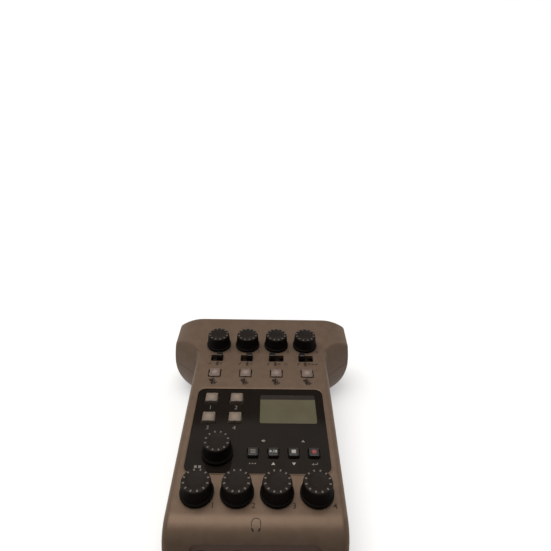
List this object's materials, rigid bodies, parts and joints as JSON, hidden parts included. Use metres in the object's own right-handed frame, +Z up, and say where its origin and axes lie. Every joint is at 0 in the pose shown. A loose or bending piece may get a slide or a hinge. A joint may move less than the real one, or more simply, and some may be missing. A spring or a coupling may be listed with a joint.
{
  "type": "podcast recorder",
  "caption": "Desktop podcast recorder: flared head with microphone inputs, sloping panel with gain and headphone knobs, mute buttons, sound pads, display and transport keys.",
  "frame": {"origin": "middle of the base, on the table, under the centre of the overall box", "axes": "+X to the right of a person facing the panel, +Y towards the head with the microphone inputs, +Z up"},
  "size_m": [0.112, 0.155, 0.0469],
  "materials": {
    "shell": "fine satin grain, warm silver-grey",
    "window": "semi-gloss black",
    "display": "unlit grey-green display",
    "board": "solder mask",
    "steel": "plain",
    "socket_black": "fine matt",
    "front_plate": "fine matt",
    "contact_brass": "plated",
    "cell": "printed sleeve",
    "rubber": "matt",
    "knob": "matt, finely ribbed sides",
    "frosted": "frosted, milky",
    "key": "satin black",
    "lever": "satin black"
  },
  "bodies": {
    "case": {"top_shell": "shell", "bottom_shell": "shell", "control_window": "window", "display_module": "display", "main_board": "board", "board_screws": "steel", "case_screws": "steel", "potentiometers": "socket_black", "tact_switches": "socket_black", "input_switch_bodies": "socket_black", "front_jack_plate": "front_plate", "headphone_jacks": "socket_black", "jack_board": "board", "rear_plate": "socket_black", "input_socket_1": "socket_black", "input_socket_2": "socket_black", "input_socket_3": "socket_black", "input_socket_4": "socket_black", "input_contacts": "contact_brass", "input_board": "board", "side_board": "board", "usb_ports": "steel", "card_socket": "steel", "phone_jack": "socket_black", "power_switch_body": "socket_black", "battery_cells": "cell", "battery_box": "socket_black", "battery_contacts": "steel", "rubber_feet": "rubber"},
    "gain_knob_1": {"gain_knob_1": "knob"},
    "gain_knob_2": {"gain_knob_2": "knob"},
    "gain_knob_3": {"gain_knob_3": "knob"},
    "gain_knob_4": {"gain_knob_4": "knob"},
    "headphone_knob_1": {"headphone_knob_1": "knob"},
    "headphone_knob_2": {"headphone_knob_2": "knob"},
    "headphone_knob_3": {"headphone_knob_3": "knob"},
    "headphone_knob_4": {"headphone_knob_4": "knob"},
    "pad_level_knob": {"pad_level_knob": "knob"},
    "sound_pad_1": {"sound_pad_1": "frosted"},
    "sound_pad_2": {"sound_pad_2": "frosted"},
    "sound_pad_3": {"sound_pad_3": "frosted"},
    "sound_pad_4": {"sound_pad_4": "frosted"},
    "mute_button_1": {"mute_button_1": "frosted"},
    "mute_button_2": {"mute_button_2": "frosted"},
    "mute_button_3": {"mute_button_3": "frosted"},
    "mute_button_4": {"mute_button_4": "frosted"},
    "menu_key": {"menu_key": "key"},
    "play_key": {"play_key": "key"},
    "stop_key": {"stop_key": "key"},
    "record_key": {"record_key": "key"},
    "input_switch_1": {"input_switch_1": "lever"},
    "input_switch_2": {"input_switch_2": "lever"},
    "input_switch_3": {"input_switch_3": "lever"},
    "input_switch_4": {"input_switch_4": "lever"},
    "latch_tab_1": {"latch_tab_1": "lever"},
    "latch_tab_2": {"latch_tab_2": "lever"},
    "latch_tab_3": {"latch_tab_3": "lever"},
    "latch_tab_4": {"latch_tab_4": "lever"},
    "power_switch": {"power_switch": "lever"},
    "battery_cover": {"battery_cover": "shell"}
  },
  "joints": [
    {"name": "gain_knob_1_turn", "type": "hinge", "parent": "case", "child": "gain_knob_1", "pos_m": [-0.02655, 0.0452, 0.03768], "axis": [0, -0.1108, 0.9938], "range_deg": [-140, 140]},
    {"name": "gain_knob_2_turn", "type": "hinge", "parent": "case", "child": "gain_knob_2", "pos_m": [-0.00885, 0.0452, 0.03768], "axis": [0, -0.1108, 0.9938], "range_deg": [-140, 140]},
    {"name": "gain_knob_3_turn", "type": "hinge", "parent": "case", "child": "gain_knob_3", "pos_m": [0.00885, 0.0452, 0.03768], "axis": [0, -0.1108, 0.9938], "range_deg": [-140, 140]},
    {"name": "gain_knob_4_turn", "type": "hinge", "parent": "case", "child": "gain_knob_4", "pos_m": [0.02655, 0.0452, 0.03768], "axis": [0, -0.1108, 0.9938], "range_deg": [-140, 140]},
    {"name": "headphone_knob_1_turn", "type": "hinge", "parent": "case", "child": "headphone_knob_1", "pos_m": [-0.02588, -0.0572, 0.02626], "axis": [0, -0.1108, 0.9938], "range_deg": [-140, 140]},
    {"name": "headphone_knob_2_turn", "type": "hinge", "parent": "case", "child": "headphone_knob_2", "pos_m": [-0.00863, -0.0572, 0.02626], "axis": [0, -0.1108, 0.9938], "range_deg": [-140, 140]},
    {"name": "headphone_knob_3_turn", "type": "hinge", "parent": "case", "child": "headphone_knob_3", "pos_m": [0.00863, -0.0572, 0.02626], "axis": [0, -0.1108, 0.9938], "range_deg": [-140, 140]},
    {"name": "headphone_knob_4_turn", "type": "hinge", "parent": "case", "child": "headphone_knob_4", "pos_m": [0.02588, -0.0572, 0.02626], "axis": [0, -0.1108, 0.9938], "range_deg": [-140, 140]},
    {"name": "pad_level_knob_turn", "type": "hinge", "parent": "case", "child": "pad_level_knob", "pos_m": [-0.0192, -0.0363, 0.02859], "axis": [0, -0.1108, 0.9938], "range_deg": [-140, 140]},
    {"name": "sound_pad_1_press", "type": "slide", "parent": "case", "child": "sound_pad_1", "axis": [0, 0.1108, -0.9938], "range_m": [0, 0.0006], "stiffness_N_per_m": 500, "springref_m": -0.001},
    {"name": "sound_pad_2_press", "type": "slide", "parent": "case", "child": "sound_pad_2", "axis": [0, 0.1108, -0.9938], "range_m": [0, 0.0006], "stiffness_N_per_m": 500, "springref_m": -0.001},
    {"name": "sound_pad_3_press", "type": "slide", "parent": "case", "child": "sound_pad_3", "axis": [0, 0.1108, -0.9938], "range_m": [0, 0.0006], "stiffness_N_per_m": 500, "springref_m": -0.001},
    {"name": "sound_pad_4_press", "type": "slide", "parent": "case", "child": "sound_pad_4", "axis": [0, 0.1108, -0.9938], "range_m": [0, 0.0006], "stiffness_N_per_m": 500, "springref_m": -0.001},
    {"name": "menu_key_press", "type": "slide", "parent": "case", "child": "menu_key", "axis": [0, 0.1108, -0.9938], "range_m": [0, 0.0006], "stiffness_N_per_m": 500, "springref_m": -0.001},
    {"name": "play_key_press", "type": "slide", "parent": "case", "child": "play_key", "axis": [0, 0.1108, -0.9938], "range_m": [0, 0.0006], "stiffness_N_per_m": 500, "springref_m": -0.001},
    {"name": "stop_key_press", "type": "slide", "parent": "case", "child": "stop_key", "axis": [0, 0.1108, -0.9938], "range_m": [0, 0.0006], "stiffness_N_per_m": 500, "springref_m": -0.001},
    {"name": "record_key_press", "type": "slide", "parent": "case", "child": "record_key", "axis": [0, 0.1108, -0.9938], "range_m": [0, 0.0006], "stiffness_N_per_m": 500, "springref_m": -0.001},
    {"name": "mute_button_1_press", "type": "slide", "parent": "case", "child": "mute_button_1", "axis": [0, 0.1108, -0.9938], "range_m": [0, 0.0006], "stiffness_N_per_m": 500, "springref_m": -0.001},
    {"name": "mute_button_2_press", "type": "slide", "parent": "case", "child": "mute_button_2", "axis": [0, 0.1108, -0.9938], "range_m": [0, 0.0006], "stiffness_N_per_m": 500, "springref_m": -0.001},
    {"name": "mute_button_3_press", "type": "slide", "parent": "case", "child": "mute_button_3", "axis": [0, 0.1108, -0.9938], "range_m": [0, 0.0006], "stiffness_N_per_m": 500, "springref_m": -0.001},
    {"name": "mute_button_4_press", "type": "slide", "parent": "case", "child": "mute_button_4", "axis": [0, 0.1108, -0.9938], "range_m": [0, 0.0006], "stiffness_N_per_m": 500, "springref_m": -0.001},
    {"name": "input_switch_1_slide", "type": "slide", "parent": "case", "child": "input_switch_1", "axis": [1, 0, 0], "range_m": [-0.0032, 0]},
    {"name": "input_switch_2_slide", "type": "slide", "parent": "case", "child": "input_switch_2", "axis": [1, 0, 0], "range_m": [-0.0032, 0]},
    {"name": "input_switch_3_slide", "type": "slide", "parent": "case", "child": "input_switch_3", "axis": [1, 0, 0], "range_m": [0, 0.0048]},
    {"name": "input_switch_4_slide", "type": "slide", "parent": "case", "child": "input_switch_4", "axis": [1, 0, 0], "range_m": [0, 0.0048]},
    {"name": "latch_tab_1_press", "type": "slide", "parent": "case", "child": "latch_tab_1", "axis": [0, 0, -1], "range_m": [0, 0.001], "stiffness_N_per_m": 600, "springref_m": -0.001},
    {"name": "latch_tab_2_press", "type": "slide", "parent": "case", "child": "latch_tab_2", "axis": [0, 0, -1], "range_m": [0, 0.001], "stiffness_N_per_m": 600, "springref_m": -0.001},
    {"name": "latch_tab_3_press", "type": "slide", "parent": "case", "child": "latch_tab_3", "axis": [0, 0, -1], "range_m": [0, 0.001], "stiffness_N_per_m": 600, "springref_m": -0.001},
    {"name": "latch_tab_4_press", "type": "slide", "parent": "case", "child": "latch_tab_4", "axis": [0, 0, -1], "range_m": [0, 0.001], "stiffness_N_per_m": 600, "springref_m": -0.001},
    {"name": "power_switch_slide", "type": "slide", "parent": "case", "child": "power_switch", "axis": [0, 1, 0], "range_m": [0, 0.003]},
    {"name": "battery_cover_slide", "type": "slide", "parent": "case", "child": "battery_cover", "axis": [0, -1, 0], "range_m": [0, 0.0038]}
  ]
}
